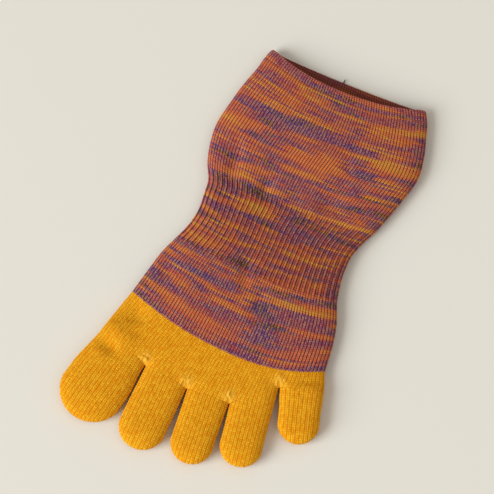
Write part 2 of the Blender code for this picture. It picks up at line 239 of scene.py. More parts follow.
STREAKS = (
    Streak("cuff_welt", 0.00, 0.00, 1.0, 1.30, Tone.SALMON, 0.90),
    Streak("cuff_welt", 0.60, -0.62, 3.2, 0.34, Tone.PURPLE, 0.75),
    Streak("cuff_welt", 0.60, -0.16, 2.2, 0.14, Tone.VIOLET, 0.75),
    Streak("cuff_welt", 0.40, 0.88, 3.0, 0.16, Tone.PURPLE, 0.70),
    Streak("cuff_welt", 0.50, 0.40, 2.5, 0.28, Tone.SALMON, 0.60),
    Streak("leg", 0.08, -0.72, 3.0, 0.24, Tone.PURPLE, 0.85),
    Streak("leg", 0.06, 0.55, 2.6, 0.36, Tone.ORANGE, 0.65),
    Streak("leg", 0.12, -0.20, 2.2, 0.30, Tone.SALMON, 0.55),
    Streak("leg", 0.17, 0.82, 1.8, 0.18, Tone.GOLD, 0.65),
    Streak("leg", 0.21, -0.52, 2.2, 0.28, Tone.SALMON, 0.60),
    Streak("leg", 0.21, 0.25, 1.6, 0.12, Tone.OLIVE, 0.60),
    Streak("leg", 0.23, -0.86, 1.3, 0.08, Tone.OLIVE, 0.60),
    Streak("leg", 0.26, 0.60, 2.2, 0.25, Tone.SALMON, 0.60),
    Streak("leg", 0.36, -0.70, 2.6, 0.34, Tone.VIOLET, 0.75),
    Streak("leg", 0.38, -0.28, 2.8, 0.20, Tone.VIOLET, 0.90),
    Streak("leg", 0.37, 0.06, 2.8, 0.26, Tone.VIOLET, 0.85),
    Streak("leg", 0.37, 0.42, 2.2, 0.18, Tone.OLIVE, 0.85),
    Streak("leg", 0.45, 0.76, 2.8, 0.28, Tone.GOLD, 0.95),
    Streak("leg", 0.47, -0.10, 2.0, 0.40, Tone.SALMON, 0.55),
    Streak("leg", 0.50, -0.76, 2.6, 0.20, Tone.ORANGE, 0.80),
    Streak("leg", 0.57, -0.95, 2.8, 0.18, Tone.GOLD, 0.85),
    Streak("leg", 0.56, 0.50, 2.6, 0.20, Tone.OLIVE, 1.00),
    Streak("leg", 0.60, -0.02, 3.6, 0.34, Tone.ORANGE, 0.90),
    Streak("leg", 0.64, -0.60, 2.0, 0.24, Tone.SALMON, 0.65),
    Streak("leg", 0.65, 0.62, 2.2, 0.30, Tone.ROSE, 0.60),
    Streak("leg", 0.73, -0.10, 2.2, 0.20, Tone.GOLD, 0.75),
    Streak("leg", 0.76, -0.76, 2.0, 0.16, Tone.SALMON, 0.55),
    Streak("leg", 0.77, 0.55, 1.5, 0.30, Tone.SALMON, 0.55),
    Streak("leg", 0.83, 0.02, 1.9, 0.30, Tone.VIOLET, 0.75),
    Streak("leg", 0.89, -0.30, 2.0, 0.10, Tone.OLIVE, 0.90),
    Streak("leg", 0.89, -0.84, 2.0, 0.16, Tone.PURPLE, 0.75),
    Streak("leg", 0.95, 0.50, 1.8, 0.30, Tone.PURPLE, 0.60),
    Streak("arch_rib", 0.12, -0.20, 2.2, 0.35, Tone.ORANGE, 0.55),
    Streak("arch_rib", 0.28, 0.40, 2.4, 0.40, Tone.PURPLE, 0.60),
    Streak("arch_rib", 0.40, -0.55, 2.4, 0.35, Tone.VIOLET, 0.60),
    Streak("arch_rib", 0.52, 0.15, 2.6, 0.45, Tone.SALMON, 0.55),
    Streak("arch_rib", 0.72, 0.78, 2.2, 0.26, Tone.PURPLE, 0.75),
    Streak("arch_rib", 0.77, 0.10, 2.0, 0.28, Tone.ROSE, 0.65),
    Streak("arch_rib", 0.84, -0.60, 2.2, 0.30, Tone.ORANGE, 0.55),
    Streak("arch_rib", 0.98, 0.56, 2.6, 0.30, Tone.SALMON, 0.85),
    Streak("instep", 0.14, -0.04, 1.8, 0.14, Tone.ORANGE, 0.85),
    Streak("instep", 0.16, 0.76, 2.0, 0.24, Tone.ORANGE, 0.65),
    Streak("instep", 0.17, -0.62, 1.8, 0.20, Tone.ROSE, 0.65),
    Streak("instep", 0.30, -0.40, 1.9, 0.42, Tone.VIOLET, 0.90),
    Streak("instep", 0.33, 0.24, 2.8, 0.15, Tone.OLIVE, 1.00),
    Streak("instep", 0.35, 0.68, 2.2, 0.32, Tone.PURPLE, 0.85),
    Streak("instep", 0.46, -0.76, 1.8, 0.18, Tone.ORANGE, 0.85),
    Streak("instep", 0.48, -0.12, 1.6, 0.26, Tone.GOLD, 0.75),
    Streak("instep", 0.50, 0.82, 1.8, 0.24, Tone.ORANGE, 0.90),
    Streak("instep", 0.58, -0.92, 1.6, 0.10, Tone.OLIVE, 0.80),
    Streak("instep", 0.63, 0.66, 2.4, 0.34, Tone.PURPLE, 0.85),
    Streak("instep", 0.66, -0.50, 2.4, 0.34, Tone.ROSE, 0.75),
    Streak("instep", 0.68, 0.27, 2.6, 0.14, Tone.OLIVE, 0.85),
    Streak("instep", 0.80, 0.72, 2.4, 0.32, Tone.SALMON, 0.90),
    Streak("instep", 0.82, -0.25, 2.8, 0.44, Tone.SALMON, 0.85),
    Streak("instep", 1.00, 0.10, 2.2, 1.00, Tone.PURPLE, 0.90),
)


def linear(colour: str) -> tuple[float, float, float, float]:
    """Turn an sRGB hex colour into linear red, green and blue with full alpha.

    Args:
        colour: Six hex digits, such as "e2a023".

    Returns:
        The linear colour, as shaders want it.
    """
    parts = [int(colour[start:start + 2], 16) / 255 for start in (0, 2, 4)]
    made = [part / 12.92 if part <= 0.04045 else ((part + 0.055) / 1.055) ** 2.4 for part in parts]
    return made[0], made[1], made[2], 1.0


def ease(x: np.ndarray) -> np.ndarray:
    """Rise from 0 to 1 with level ends."""
    x = np.clip(x, 0.0, 1.0)
    return x * x * (3 - 2 * x)


def smooth(places: np.ndarray, values: np.ndarray, place: np.ndarray) -> np.ndarray:
    """Read a smooth curve through a table's values.

    Args:
        places: Where the values stand, rising.
        values: The table's values.
        place: The places wanted.

    Returns:
        The curve's values, with slopes that the neighbouring rows give.
    """
    slopes = np.gradient(values, places)
    index = np.clip(np.searchsorted(places, place) - 1, 0, len(places) - 2)
    step = places[index + 1] - places[index]
    x = (place - places[index]) / step
    return (
        values[index] * (1 + 2 * x) * (1 - x) ** 2
        + slopes[index] * step * x * (1 - x) ** 2
        + values[index + 1] * x * x * (3 - 2 * x)
        - slopes[index + 1] * step * x * x * (1 - x)
    )


def lattice_noise(x: np.ndarray, y: np.ndarray, seed: int) -> np.ndarray:
    """Give soft random values from -1 to 1 that change over a distance of about 1.

    Args:
        x: First coordinates.
        y: Second coordinates.
        seed: Picks another field of values.

    Returns:
        The noise at each place.
    """
    table = np.random.default_rng(seed).uniform(-1.0, 1.0, (NOISE_SIDE, NOISE_SIDE))
    column, row = np.floor(x).astype(int), np.floor(y).astype(int)
    right, up = ease(x - column), ease(y - row)
    near, far = (
        table[column % NOISE_SIDE, line % NOISE_SIDE] * (1 - right)
        + table[(column + 1) % NOISE_SIDE, line % NOISE_SIDE] * right
        for line in (row, row + 1)
    )
    return near * (1 - up) + far * up


def finish_mesh(name: str, made: bmesh.types.BMesh) -> bpy.types.Mesh:
    """Turn a bmesh into a mesh and free it.

    Args:
        name: The mesh's name.
        made: The bmesh.

    Returns:
        The mesh.
    """
    mesh = bpy.data.meshes.new(name)
    made.to_mesh(mesh)
    made.free()
    return mesh


def add_object(name: str, data: bpy.types.ID) -> bpy.types.Object:
    """Put a new object in the scene.

    Args:
        name: The object's name.
        data: Its mesh, light or camera.

    Returns:
        The object.
    """
    made = bpy.data.objects.new(name, data)
    bpy.context.scene.collection.objects.link(made)
    return made


@dataclass
class SockForm:
    """Shape of the lying sock, the same as its solids have.

    An upper and a lower layer meet in a fold at each side. The lower one lies flat and curls up to
    the fold, and the upper one swells over it to its loft. Places run from the mouth to the toes.
    """

    loft: float = 0.0090
    wall: float = 0.0015
    fold_radius: float = 0.0055
    fold_height: float = 0.0036
    crown_power: float = 2.8
    sag_power: float = 2.3
    toe_length: float = 0.0410
    toe_width: float = 0.0322
    toe_loft: float = 0.0085
    toe_spread: float = 0.5
    tip_power: float = 0.7
    pinch_start: float = 0.35
    pinch_power: float = 1.5
    pinch_lift: float = 0.6
    crotch_air: float = 0.0004
    inner_air: float = 0.00015
    inner_power: float = 8
    places: np.ndarray = field(init=False)
    left: np.ndarray = field(init=False)
    right: np.ndarray = field(init=False)
    lofts: np.ndarray = field(init=False)
    sag_places: np.ndarray = field(init=False)
    roots: np.ndarray = field(init=False)
    root_across: np.ndarray = field(init=False)
    root_halves: np.ndarray = field(init=False)
    shift: np.ndarray = field(init=False)

    def __post_init__(self) -> None:
        """Work out the tables' places, the toe roots, and where the sock lies in the frame."""
        self.places = np.array([self.place(row.zone, row.share) for row in SECTIONS])
        self.left = np.array([row.left * row.width for row in SECTIONS])
        self.right = np.array([row.right * row.width for row in SECTIONS])
        self.lofts = np.array([row.loft * self.loft for row in SECTIONS])
        self.sag_places = np.array([self.place(row.zone, row.share) for row in SAGS])
        self.roots = np.array([
            (row.across * FOOT_WIDTH, -self.place("forefoot", row.down)) for row in ROOTS
        ])
        self.root_across = np.array([2.0 * row.wales / ROOTS[-1].wales - 1.0 for row in ROOTS])
        self.root_halves = np.linalg.norm(np.diff(self.roots, axis=0), axis=1) / 2
        low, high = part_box("cuff_welt")
        welt_end = np.array([ZONES[0].length])
        middle = self.sides(welt_end)[0][0]
        self.shift = np.array([(low.x + high.x) / 2 - middle, high.y])

    def zone(self, name: str) -> Zone:
        """Find a zone by its name."""
        return next(zone for zone in ZONES if zone.name == name)

    def start(self, name: str) -> float:
        """Give the distance from the mouth to a zone's start."""
        names = [zone.name for zone in ZONES]
        return sum(zone.length for zone in ZONES[:names.index(name)])

    def place(self, name: str, share: float) -> float:
        """Give the distance from the mouth to a share of a zone."""
        return self.start(name) + share * self.zone(name).length

    def sides(self, place: np.ndarray) -> Arrays:
        """Give where the tube's sides lie.

        Args:
            place: Distance from the mouth.

        Returns:
            The middle line's x, and the half width.
        """
        left = smooth(self.places, self.left, place)
        right = smooth(self.places, self.right, place)
        return 0.5 * (left + right), 0.5 * (right - left)

    def heights(self, across: np.ndarray, half: np.ndarray, loft: np.ndarray) -> Arrays:
        """Give the lower and upper layers' heights.

        Args:
            across: Place between the side folds, from -1 to 1.
            half: Half width there.
            loft: Loft there.

        Returns:
            The lower and the upper layer's height.
        """
        side = np.minimum(np.abs(across), 1.0)
        upper = self.fold_height + (loft - self.fold_height) * self.crown(side)
        return self.curl((1 - side) * half), upper

    def crown(self, side: np.ndarray) -> np.ndarray:
        """Give the share of its loft that the upper layer has between its middle and its fold."""
        return (1 - np.clip(side, 0.0, 1.0) ** self.crown_power) ** (1 / self.crown_power)

    def swell(self, height: np.ndarray, loft: np.ndarray) -> np.ndarray:
        """Give the share of its loft that the upper layer has at a height."""
        return (height - self.fold_height) / (loft - self.fold_height)

    def curl(self, distance: np.ndarray) -> np.ndarray:
        """Give the lower layer's height at a distance from its fold."""
        curl = np.clip(1 - distance / self.fold_radius, 0.0, 1.0)
        return self.fold_height * (1 - np.sqrt(1 - curl * curl))

    def plan(self, place: np.ndarray, across: np.ndarray, upper: np.ndarray) -> Arrays:
        """Give a course's plan position.

        Args:
            place: Distance from the mouth.
            across: Place between the side folds, from -1 to 1.
            upper: Whether the point is on the upper layer.

        Returns:
            x, y and the half width, before the sock is moved to its place in the frame.
        """
        middle, half = self.sides(place)
        sag = np.interp(place, self.sag_places, [row.sag for row in SAGS])
        skew = np.interp(place, self.sag_places, [row.skew for row in SAGS])
        lower_share = np.interp(place, self.sag_places, [row.lower for row in SAGS])
        sag = sag * np.where(upper, 1.0, lower_share)
        bow = sag * (1 - np.abs(across) ** self.sag_power) * (1 + skew * across)
        return middle + half * across, -place - bow, half

    def dent(self, x: np.ndarray, y: np.ndarray, rows: tuple[Dent, ...]) -> np.ndarray:
        """Give how deep some dents are in all.

        Args:
            x: x of the plan positions, before the sock is moved to its place in the frame.
            y: Their y.
            rows: The dents.

        Returns:
            The depth at each position.
        """
        depth = np.zeros_like(x)
        for dent in rows:
            across = np.array([dent.across])
            if dent.zone == "forefoot":
                middle_x, middle_y, _ = self.forefoot_plan(np.array([dent.share]), across)
            else:
                place = np.array([self.place(dent.zone, dent.share)])
                middle_x, middle_y, _ = self.plan(place, across, np.array([True]))
            turn = math.radians(dent.turn)
            dx, dy = x - middle_x[0], y - middle_y[0]
            along = (dy * math.cos(turn) - dx * math.sin(turn)) / (dent.reach_along * FOOT_WIDTH)
            aside = (dx * math.cos(turn) + dy * math.sin(turn)) / (dent.reach_across * FOOT_WIDTH)
            depth += dent.depth * self.loft * np.exp(-along * along - aside * aside)
        return depth

    def toe_of(self, across: np.ndarray) -> Arrays:
        """Find the toe that each wale leads to.

        Args:
            across: Place across the tube, from -1 to 1.

        Returns:
            The toe's number, and the place across that toe.
        """
        toe = np.searchsorted(self.root_across[1:-1], across, side="left")
        low, high = self.root_across[toe], self.root_across[toe + 1]
        return toe, 2.0 * (across - low) / (high - low) - 1.0

    def forefoot_plan(self, share: np.ndarray, across: np.ndarray,
                      within: np.ndarray | None = None) -> Arrays:
        """Give a plan position between the mustard yarn's first course and the toe roots.

        Args:
            share: Share of the way to the roots.
            across: Place across the tube, from -1 to 1.
            within: Place across the toe at the roots, where it isn't the even one.

        Returns:
            x, y and the half width, before the sock is moved to its place in the frame.
        """
        first = np.full_like(across, self.start("forefoot"))
        x, y, half = self.plan(first, across, np.ones_like(across, bool))
        toe, even = self.toe_of(across)
        within = even if within is None else within
        left = self.roots[toe] * (1 - within)[..., None] / 2
        ends = left + self.roots[toe + 1] * (1 + within)[..., None] / 2
        return x + (ends[..., 0] - x) * share, y + (ends[..., 1] - y) * share, half

    def inner_height(self, z: np.ndarray, loft: np.ndarray | float,
                     depth: np.ndarray) -> np.ndarray:
        """Draw heights of the outer face in towards the hollow.

        Args:
            z: Height of the outer face.
            loft: Loft.
            depth: How deep in the wall the point is, from 0 outside to 1 inside.

        Returns:
            The height of the point in the wall.
        """
        room = np.where(z > self.fold_height, loft - self.fold_height, self.fold_height)
        return self.fold_height + (z - self.fold_height) * (1 - depth * self.wall / room)

    def in_frame(self, x: np.ndarray, y: np.ndarray, z: np.ndarray) -> np.ndarray:
        """Move plan positions to the sock's place in the frame, and join their heights to them."""
        return np.stack([x + self.shift[0], y + self.shift[1], z], axis=-1)


@dataclass(frozen=True)
class Stitch:
    """Relief of one knit stitch, and how the stitches differ from each other.

    A stitch is one wale wide and one course high. Its two legs lean together to a point, with a
    heart line between them, a groove to the next wale and a valley to the next course.
    """

    columns: int = 6
    under_columns: int = 4
    rows: int = 2
    lean: float = 0.00085
    groove: float = 0.00050
    heart: float = 0.00016
    valley: float = 0.00026
    roundness: float = 0.9
    inner_groove: float = 0.00016
    purl_depth: float = 0.00070
    purl_side: float = 0.75
    purl_side_start: float = 0.4
    rib_fade: float = 0.0015
    unevenness: float = 0.35
    unevenness_scale: float = 0.9

    def shift(self, wale: np.ndarray) -> np.ndarray:
        """Give how far a stitch's point leads towards the toes at a place across its wale."""
        return self.lean * (0.5 - 2 * np.abs(wale % 1.0 - 0.5))

    def depth(self, wale: np.ndarray, course: np.ndarray, rib: np.ndarray | float) -> np.ndarray:
        """Give how deep the knit's face lies below its highest places.

        Args:
            wale: Place round the sock, in wales.
            course: Place along the sock, in courses.
            rib: How far the knit is ribbed, from 0 to 1.

        Returns:
            The depth, in metres.
        """
        from_heart = np.abs(wale % 1.0 - 0.5)
        from_leg = np.abs(4 * from_heart - 1)
        leg = 1 - np.sqrt(1 - self.roundness * from_leg ** 2)
        leg = leg / (1 - math.sqrt(1 - self.roundness))
        edge = np.where(from_heart > 0.25, self.groove, self.heart)
        gap = 0.5 + 0.5 * np.cos(2 * math.pi * course)
        scale = self.unevenness_scale
        rough = 1 + self.unevenness * lattice_noise(wale * scale, course * scale, SEED)
        plain = edge * leg + self.valley * gap * (1 - 0.5 * leg)
        return plain * rough + rib * self.purl_depth * self.purl(wale)

    def purl(self, wale: np.ndarray) -> np.ndarray:
        """Say how far each place lies in the sunk wales of the rib."""
        sunk = np.floor(wale + ROUNDING) % 2
        return np.where(np.abs(wale % 1.0 - 0.5) > self.purl_side_start, self.purl_side, sunk)

    def relief(self, wale: np.ndarray, course: np.ndarray, depth: np.ndarray,
               rib: np.ndarray | float = 0.0) -> np.ndarray:
        """Give how far the points of a wall are pressed in.

        Args:
            wale: Place round the sock, in wales.
            course: Place along the sock, in courses.
            depth: Depth in the wall, from 0 outside to 1 inside.
            rib: How far the knit is ribbed, from 0 to 1.

        Returns:
            The relief of the outer face, which turns into the inner face's across the wall.
        """
        inside = self.inner_groove * np.cos(math.pi * wale) ** 2
        return self.depth(wale, course, rib) * (1 - depth) + inside * depth


@dataclass
class KnitGrid:
    """A grid of points on the knit, which is rolled up, welded and pressed into stitches.

    Its bands are the strips of faces between two rows: the ends are cut ends that the next piece
    hides, and the open ones are left out.
    """

    name: str
    points: np.ndarray
    depths: np.ndarray
    courses: np.ndarray
    wales: np.ndarray
    marks: dict[str, np.ndarray]
    ends: set[int]
    open_bands: set[int] = field(default_factory=set)

    def build(self) -> bpy.types.Object:
        """Make the piece's object."""
        return add_object(self.name + "_knitted", self.mesh())

    def mesh(self) -> bpy.types.Mesh:
        """Roll the grid up, weld it and press its stitches in.

        Returns:
            The closed mesh, with its wales and courses as a UV map.
        """
        rows, columns = self.points.shape[:2]
        made = bmesh.new()
        made.loops.layers.uv.new(KNIT_UV)
        bmesh.ops.create_grid(
            made, x_segments=columns - 1, y_segments=rows - 1, size=0.5, calc_uvs=True
        )
        values = {"depth": self.depths, "course": self.courses, **self.marks}
        layers = {name: made.verts.layers.float.new(name) for name in values}
        end_layer = made.faces.layers.int.new("end")
        unwanted = []
        for face in made.faces:
            band = int((face.calc_center_median().y + 0.5) * (rows - 1))
            face[end_layer] = band in self.ends
            if band in self.open_bands:
                unwanted.append(face)
        for vertex in made.verts:
            column = round((vertex.co.x + 0.5) * (columns - 1))
            row = round((vertex.co.y + 0.5) * (rows - 1))
            vertex.co = self.points[row, column]
            for name, layer in layers.items():
                vertex[layer] = values[name][row, column]
        bmesh.ops.delete(made, geom=unwanted, context="FACES")
        bmesh.ops.remove_doubles(made, verts=made.verts, dist=WELD)
        bmesh.ops.recalc_face_normals(made, faces=made.faces)
        self.press(made, layers["depth"], end_layer)
        mesh = finish_mesh(self.name, made)
        self.number_stitches(mesh)
        for name in ("depth", "course", "end"):
            mesh.attributes.remove(mesh.attributes[name])
        return mesh

    def press(self, made: bmesh.types.BMesh, depth_layer: bmesh.types.BMLayerItem,
              end_layer: bmesh.types.BMLayerItem) -> None:
        """Press the stitches' relief into the knit, and keep its cut ends crisp.

        Args:
            made: The welded knit.
            depth_layer: Depth of each vertex below the knit's face.
            end_layer: Marks the faces of the cut ends, which don't turn the relief.
        """
        made.normal_update()
        shared = {}
        for face in made.faces:
            face.smooth = True
            if face[end_layer]:
                for edge in face.edges:
                    edge.smooth = all(other[end_layer] for other in edge.link_faces)
                shared.update({vertex.index: vertex for vertex in face.verts})
        turned = {}
        for index, vertex in shared.items():
            normal = Vector((0.0, 0.0, 0.0))
            for face in vertex.link_faces:
                if not face[end_layer]:
                    normal += face.normal * face.calc_area()
            if normal.length > 0.0:
                turned[index] = normal.normalized()
        for vertex in made.verts:
            vertex.co -= turned.get(vertex.index, vertex.normal) * vertex[depth_layer]

    def number_stitches(self, mesh: bpy.types.Mesh) -> None:
        """Turn the grid's even UV map into wale and course numbers.

        Args:
            mesh: The knit's mesh.
        """
        data = mesh.uv_layers[KNIT_UV].data
        spread = np.empty(2 * len(data), np.float32)
        data.foreach_get("uv", spread)
        corners = np.empty(len(mesh.loops), np.int32)
        mesh.loops.foreach_get("vertex_index", corners)
        courses = np.empty(len(mesh.vertices), np.float32)
        mesh.attributes["course"].data.foreach_get("value", courses)
        columns = np.linspace(0.0, 1.0, len(self.wales))
        spread[0::2] = np.interp(spread[0::2], columns, self.wales)
        spread[1::2] = courses[corners]
        data.foreach_set("uv", spread)


@dataclass
class Ring:
    """Columns of points round the tube or a toe, over the upper layer and back below."""

    across: np.ndarray
    within: np.ndarray
    upper: np.ndarray
    wale: np.ndarray

    def spread(self, shape: tuple[int, ...]) -> Arrays:
        """Repeat the columns' values over all rows, in the order that they are listed above."""
        values = (self.across, self.within, self.upper, self.wale)
        return tuple(np.broadcast_to(value, shape) for value in values)


@dataclass
class Knitter:
    """Lays rings of columns on the sock, evenly enough for its stitches."""

    form: SockForm
    stitch: Stitch
    reference_half: float = 0.046
    tube_evenness: float = 0.8
    toe_evenness: float = 0.4
    fine: int = 600

    def even(self, low: float, high: float, count: int, half: float, loft: float,
             evenness: float) -> np.ndarray:
        """Space columns along the upper layer's curve.

        Args:
            low: First place across.
            high: Last place across.
            count: How many steps lie between them.
            half: Half width of the layer.
            loft: Loft of the layer.
            evenness: From 0, even in plan, to 1, even along the curve.

        Returns:
            The places across.
        """
        fine = np.sin(np.linspace(math.asin(low), math.asin(high), self.fine))
        z = self.form.heights(fine, half, loft)[1]
        steps = np.hypot(np.diff(fine) * half, np.diff(z))
        run = np.concatenate([[0.0], np.cumsum(steps)])
        curved = np.interp(np.linspace(0.0, run[-1], count + 1), run, fine)
        return evenness * curved + (1 - evenness) * np.linspace(low, high, count + 1)

    def layer(self, toes: range, columns: int) -> Arrays:
        """Lay the columns of one layer.

        Args:
            toes: The numbers of the toes that the columns lead to.
            columns: How many columns each wale has.

        Returns:
            The places across the tube, and across the toes.
        """
        across, within = [], []
        for index in toes:
            count = (ROOTS[index + 1].wales - ROOTS[index].wales) * columns
            low, high = self.form.root_across[index:index + 2]
            tube = self.even(
                low, high, count, self.reference_half, self.form.loft, self.tube_evenness
            )
            half = TOES[index].width * self.form.toe_width / 2
            toe = self.even(-1.0, 1.0, count, half, self.form.toe_loft, self.toe_evenness)
            skip = 0 if index == toes[0] else 1
            across.append(tube[skip:])
            within.append(toe[skip:])
        return np.concatenate(across), np.concatenate(within)

    def ring(self, toes: range, under_columns: int) -> Ring:
        """Lay a ring round the tube, or round one toe.

        Args:
            toes: The numbers of the toes that it leads to.
            under_columns: How many columns each wale of the lower layer has.

        Returns:
            The ring.
        """
        top, top_within = self.layer(toes, self.stitch.columns)
        under, under_within = self.layer(toes, under_columns)
        first, last = ROOTS[toes[0]].wales, ROOTS[toes[-1] + 1].wales
        steps = np.arange(1, len(under)) / under_columns
        return Ring(
            across=np.concatenate([top, under[::-1][1:]]),
            within=np.concatenate([top_within, under_within[::-1][1:]]),
            upper=np.arange(len(top) + len(steps)) < len(top),
            wale=np.concatenate([first + np.arange(len(top)) / self.stitch.columns, last + steps]),
        )


@dataclass
class SpaceDye:
    """Where the sock's yarn takes its strongest colours, streak by streak along the courses."""

    form: SockForm
    raggedness: float = 0.10
    ragged_step: float = 3.7
    fullness: float = 1.5

    def marks(self, place: np.ndarray, across: np.ndarray) -> Arrays:
        """Lay the streaks over each other.

        Args:
            place: Distance from the mouth, for each row and column.
            across: Place between the side folds.

        Returns:
            The tone on the yarn's colour ramp, and how far it shows, both from 0 to 1.
        """
        tone, shown = np.full(place.shape, 0.5), np.zeros(place.shape)
        for number, streak in enumerate(STREAKS):
            zone = self.form.zone(streak.zone)
            pitch = zone.length / zone.courses
            course = np.floor((place - self.form.place(streak.zone, streak.share)) / pitch + 0.5)
            noise = lattice_noise(course * self.ragged_step, np.zeros_like(across), SEED + number)
            aside = (across + self.raggedness * noise - streak.across) / streak.length
            high = np.exp(-(course / streak.courses) ** 2 - aside ** 4)
            cover = streak.strength * np.clip(self.fullness * high, 0.0, 1.0)
            tone = tone * (1 - cover) + streak.tone.value * cover
            shown = 1 - (1 - shown) * (1 - cover)
        return tone, shown


@dataclass
class TubePiece:
    """One zone of the sock's tube, as a closed wall of knit."""

    form: SockForm
    knitter: Knitter
    zone: Zone
    inner_step: float = 0.0035
    rim_steps: tuple[float, ...] = (0.06, 0.25, 0.5, 0.75, 0.94)
    rim_room: float = 1.3
    rim_calm: float = 3.0
    welt_line: float = 0.00022
    welt_line_width: float = 0.0006
    # Share of painted shade in the rib's sunk wales.
    purl_shade: float = 0.2

    def rows(self) -> tuple[np.ndarray, np.ndarray, set[int]]:
        """List the rows round the wall, from the outer face over its end to the inner face.

        Returns:
            Each row's course number in the zone, its depth in the wall from 0 to 1, and the bands
            that are cut ends.
        """
        steps = self.zone.courses * self.knitter.stitch.rows
        outer = np.linspace(0.0, self.zone.courses, steps + 1)
        inner_rows = math.ceil(self.zone.length / self.inner_step)
        inner = np.linspace(self.zone.courses, 0.0, inner_rows + 1)
        courses = [outer, inner]
        depths = [np.zeros_like(outer), np.ones_like(inner)]
        ends = {len(outer) - 1, len(outer) + len(inner) - 1}
        if self.zone is ZONES[0]:
            # The mouth's rim is a round edge of the wall instead of a cut end.
            pitch = self.zone.length / self.zone.courses
            radius = 0.5 * self.form.wall / pitch
            outer[0] = inner[-1] = radius
            outer[1:] = np.maximum(outer[1:], radius * self.rim_room)
            rim = np.array(self.rim_steps)[::-1]
            courses.append(radius * (1 - np.sin(math.pi * rim)))
            depths.append(rim)
            ends = {len(outer) - 1}
        courses.append(outer[:1])
        depths.append(np.zeros(1))
        return np.concatenate(courses), np.concatenate(depths), ends

    def rib_share(self, place: np.ndarray) -> np.ndarray:
        """Say how far the knit is ribbed.

        Args:
            place: Distance from the mouth.

        Returns:
            The share from 0, plain, to 1, ribbed.
        """
        fade = self.knitter.stitch.rib_fade
        start, end = self.form.start("arch_rib"), self.form.start("instep")
        return ease((place - start) / fade + 0.5) * ease((end - place) / fade + 0.5)

    def surface(self, place: np.ndarray, ring: Ring, depth: np.ndarray) -> np.ndarray:
        """Give points in the wall of the tube, in the frame.

        Args:
            place: Distance from the mouth, for each row and column.
            ring: The columns.
            depth: Depth in the wall, for each row and column.

        Returns:
            The points, as rows by columns by 3.
        """
        form = self.form
        across, _, upper, _ = ring.spread(place.shape)
        loft = smooth(form.places, form.lofts, place)
        x, y, half = form.plan(place, across, upper)
        low, high = form.heights(across, half, loft)
        z = np.where(upper, high - form.dent(x, y, DENTS + CREASES) * form.swell(high, loft), low)
        x = x - half * across * (depth * form.wall / half)
        return form.in_frame(x, y, form.inner_height(z, loft, depth))

    def grid(self) -> KnitGrid:
        """Lay the zone's rows and columns.

        Returns:
            The grid of points, with its stitches' depths.
        """
        stitch = self.knitter.stitch
        ring = self.knitter.ring(range(len(TOES)), stitch.under_columns)
        courses, depth, ends = self.rows()
        pitch = self.zone.length / self.zone.courses
        lead = stitch.shift(ring.wale)[None, :]
        place = self.form.start(self.zone.name) + courses[:, None] * pitch
        if self.zone is ZONES[0]:
            lead = lead * ease(courses[:, None] / self.rim_calm)
        depth = np.broadcast_to(depth[:, None], (len(courses), len(ring.wale)))
        points = self.surface(place + lead, ring, depth)
        first = sum(zone.courses for zone in ZONES[:ZONES.index(self.zone)])
        numbers = np.broadcast_to(first + courses[:, None], depth.shape)
        across, _, _, wale = ring.spread(depth.shape)
        place = np.broadcast_to(place, depth.shape)
        rib = self.rib_share(place)
        line = self.welt_line * np.exp(-((place - ZONES[0].length) / self.welt_line_width) ** 2)
        relief = stitch.relief(wale, numbers, depth, rib) + line * (1 - depth)
        tone, shown = SpaceDye(self.form).marks(place, across)
        # Dye tones, and painted shade on the inner face and in the rib's sunk wales.
        marks = {
            "tone": tone,
            "tone_share": shown,
            "shade": np.maximum(depth, self.purl_shade * rib * stitch.purl(wale)),
        }
        return KnitGrid(self.zone.name, points, relief, numbers, ring.wale, marks, ends)


